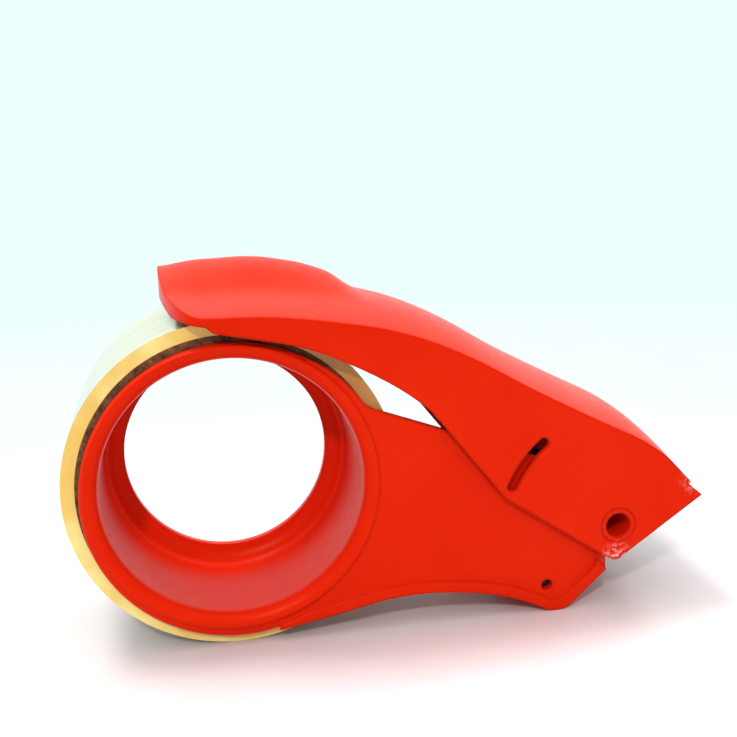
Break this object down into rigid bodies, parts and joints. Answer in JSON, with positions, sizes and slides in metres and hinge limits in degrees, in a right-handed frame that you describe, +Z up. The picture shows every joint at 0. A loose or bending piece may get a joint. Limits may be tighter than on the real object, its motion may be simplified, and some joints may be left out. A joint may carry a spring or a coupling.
{
  "type": "tape gun dispenser",
  "caption": "Hand-held packing tape dispenser with an open ring hub for the roll, a hinged thumb lever over the tape and a serrated blade at the nose.",
  "frame": {"origin": "on the hub's axis, in the middle of the tape's width", "axes": "+X towards the blade, +Y along the hub from its ring side to its open side, +Z up with the tool standing on the roll and the foot"},
  "size_m": [0.1754, 0.0602, 0.1025],
  "materials": {
    "moulded_plastic": "smooth moulded polypropylene, satin gloss",
    "roller_plastic": "moulded, lightly grooved",
    "bare_steel": "bright zinc plated",
    "blade_steel": "rolled strip, ground teeth",
    "core_board": "spiral wound grey-brown board",
    "wound_tape": "many layers of clear film, honey coloured at the side",
    "tape_film": "clear adhesive film"
  },
  "bodies": {
    "holder": {"holder_frame": "moulded_plastic", "pivot_tube": "moulded_plastic", "pivot_clips": "bare_steel", "guide_bar": "bare_steel", "stop_peg": "bare_steel", "drawn_tape": "tape_film"},
    "lever": {"cover_lever": "moulded_plastic", "blade": "blade_steel", "blade_rivets": "bare_steel"},
    "roll": {"tape_core": "core_board", "tape_winding": "wound_tape"},
    "feed_roller": {"feed_roller": "roller_plastic"}
  },
  "joints": [
    {"name": "lever_pivot", "type": "hinge", "parent": "holder", "child": "lever", "pos_m": [0.1059, 0, -0.0194], "axis": [0, 1, 0], "range_deg": [0, 22]},
    {"name": "roll_spin", "type": "hinge", "parent": "holder", "child": "roll", "pos_m": [0, 0, 0.0004], "axis": [0, 1, 0], "continuous": true},
    {"name": "feed_roller_spin", "type": "hinge", "parent": "holder", "child": "feed_roller", "pos_m": [0.1059, 0, -0.0194], "axis": [0, 1, 0], "continuous": true}
  ],
  "couplings": [
    {"joint": "feed_roller_spin", "follows": "roll_spin", "ratio": 5.1802}
  ]
}
